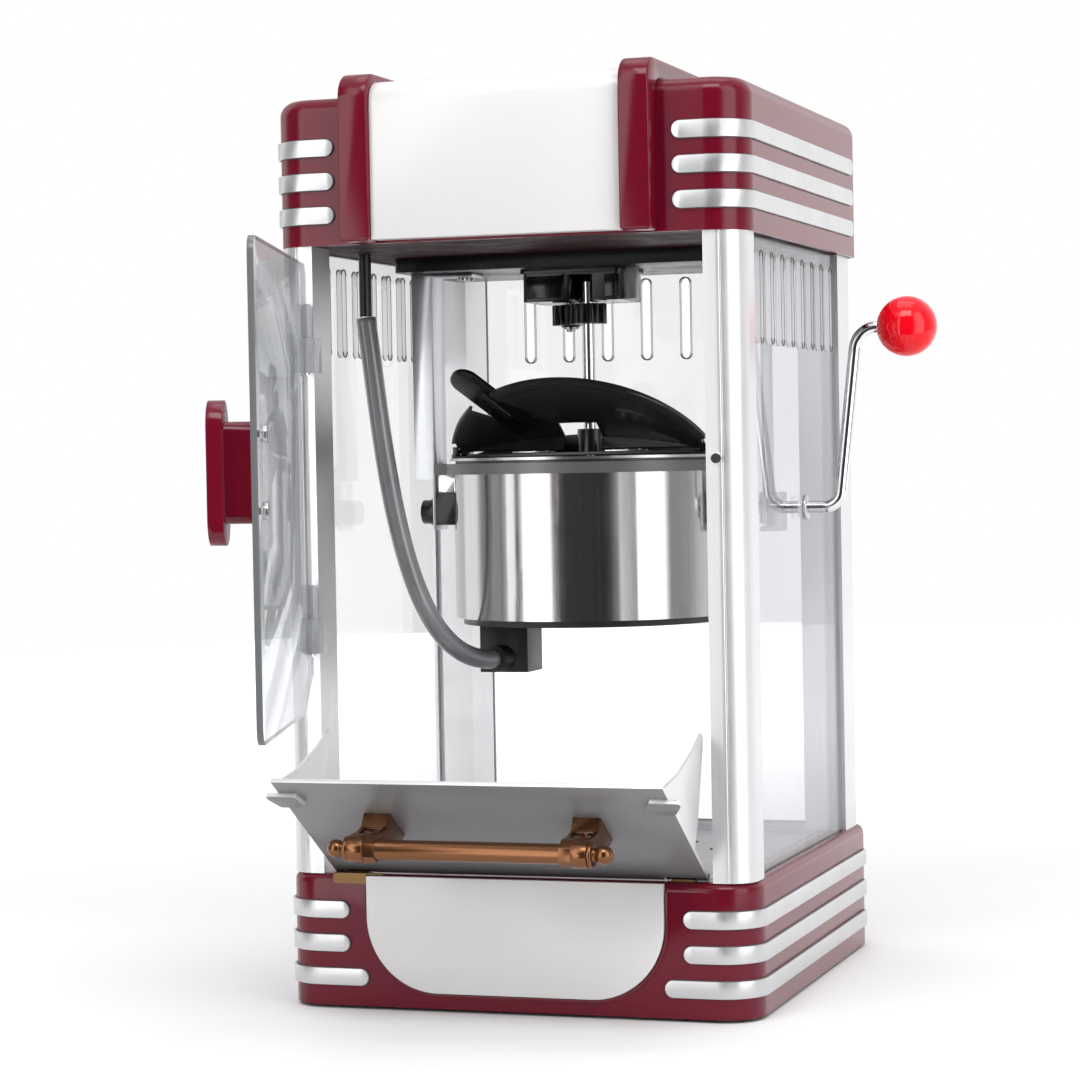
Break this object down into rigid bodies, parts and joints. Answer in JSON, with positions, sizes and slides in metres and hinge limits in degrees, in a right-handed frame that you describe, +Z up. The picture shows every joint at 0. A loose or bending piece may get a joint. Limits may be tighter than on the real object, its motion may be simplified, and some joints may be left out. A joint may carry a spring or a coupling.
{
  "type": "popcorn maker",
  "caption": "Counter-top popcorn maker: clear-windowed cabinet on a base, top housing with gear motor, crank-tilted kettle with lid flap and stirrer, swing door, tilt-out tray.",
  "frame": {"origin": "centre of the cabinet's plan, on the surface the feet stand on", "axes": "+X to the right seen from the front (the crank side), +Y to the back, +Z up"},
  "size_m": [0.3142, 0.4815, 0.47],
  "materials": {
    "burgundy_plastic": "glossy moulded plastic",
    "white_plastic": "glossy off-white plastic",
    "silver_paint": "satin silver metallic paint",
    "anodised_alloy": "brushed clear anodised",
    "hanger_alloy": "plain sheet, satin",
    "clear_acrylic": "clear polished acrylic",
    "black_plastic": "fine moulded grain",
    "black_gloss": "glossy moulded plastic",
    "gear_nylon": "dull nylon",
    "foot_rubber": "matt",
    "kettle_steel": "fine vertical brushing, near mirror",
    "pot_alloy": "spun, satin",
    "dark_metal": "dark grey semi-matt",
    "bright_chrome": "polished",
    "screw_steel": "zinc plated",
    "motor_steel": "plain steel can",
    "red_plastic": "glossy moulded plastic",
    "bronze_plastic": "metallic bronze paint",
    "tray_grey": "satin grey",
    "tray_dark": "satin grey",
    "floor_steel": "satin sheet",
    "sleeve_grey": "varnished glass-fibre braid",
    "lead_black": "smooth lead"
  },
  "bodies": {
    "root": {"base_shell": "burgundy_plastic", "base_front_panel": "white_plastic", "base_trim": "silver_paint", "base_bottom_cover": "black_plastic", "case_screws": "screw_steel", "rubber_feet": "foot_rubber", "cabinet_floor": "floor_steel", "posts_front": "anodised_alloy", "posts_rear": "anodised_alloy", "window_left": "clear_acrylic", "window_right": "clear_acrylic", "window_rear": "clear_acrylic", "door_catch": "screw_steel", "door_hinge_blocks": "clear_acrylic", "door_hinge_pins": "screw_steel", "top_shell": "burgundy_plastic", "roof_panel": "white_plastic", "roof_ribs": "burgundy_plastic", "top_trim": "silver_paint", "housing_base": "burgundy_plastic", "ceiling_pan": "black_gloss", "gear_motor": "motor_steel", "gearbox_housing": "black_gloss", "switch_bezel": "black_plastic", "cord_gland": "black_plastic", "hanger_left": "hanger_alloy", "hanger_right": "hanger_alloy", "hanger_bush": "clear_acrylic", "pivot_pin": "black_gloss", "tray_hinge_pins": "bronze_plastic", "kettle_lead": "lead_black", "lead_sleeve": "sleeve_grey"},
    "door": {"door_pane": "clear_acrylic", "door_hinge_leaves": "clear_acrylic", "door_knob": "burgundy_plastic", "door_knob_screws": "screw_steel"},
    "tray": {"tray_panel": "tray_grey", "tray_stops": "tray_dark", "tray_handle_bar": "bronze_plastic", "tray_handle_brackets": "bronze_plastic", "tray_handle_screws": "screw_steel"},
    "kettle": {"kettle_shell": "kettle_steel", "kettle_pot": "pot_alloy", "kettle_rim_plate": "dark_metal", "kettle_base": "black_plastic", "kettle_brackets": "kettle_steel", "kettle_pivot_blocks": "black_plastic", "kettle_plug": "black_plastic", "crank_rod": "bright_chrome", "crank_ball": "red_plastic", "lid_bridge": "dark_metal", "lid_rear": "dark_metal"},
    "lid": {"lid_front": "dark_metal", "lid_handle": "black_plastic"},
    "stir": {"stir_shaft": "bright_chrome", "stir_gear": "gear_nylon", "stir_blade": "bright_chrome"},
    "drive": {"drive_shaft": "screw_steel", "drive_gear": "gear_nylon"},
    "switch": {"power_switch": "black_gloss"}
  },
  "joints": [
    {"name": "door_hinge", "type": "hinge", "parent": "root", "child": "door", "pos_m": [-0.104, -0.137, 0.265], "axis": [0, 0, 1], "range_deg": [-40, 73.6]},
    {"name": "tray_tilt", "type": "hinge", "parent": "root", "child": "tray", "pos_m": [0, -0.123, 0.0702], "axis": [1, 0, 0], "range_deg": [-52, 0]},
    {"name": "kettle_tilt", "type": "hinge", "parent": "root", "child": "kettle", "pos_m": [0, 0.01, 0.2483], "axis": [1, 0, 0], "range_deg": [0, 100], "deforming": ["lead_sleeve"]},
    {"name": "lid_flap", "type": "hinge", "parent": "kettle", "child": "lid", "pos_m": [0, -0.004, 0.281], "axis": [1, 0, 0], "range_deg": [-42, 38.5]},
    {"name": "drive_spin", "type": "hinge", "parent": "root", "child": "drive", "pos_m": [-0.0138, 0.0222, 0.354], "axis": [0, 0, 1], "continuous": true},
    {"name": "stir_spin", "type": "hinge", "parent": "kettle", "child": "stir", "pos_m": [0, 0.01, 0.354], "axis": [0, 0, 1], "continuous": true},
    {"name": "power_switch_rock", "type": "hinge", "parent": "root", "child": "switch", "pos_m": [-0.07, 0.1295, 0.42], "axis": [1, 0, 0], "range_deg": [0, 10]}
  ],
  "couplings": [
    {"joint": "drive_spin", "follows": "stir_spin", "ratio": -1}
  ]
}
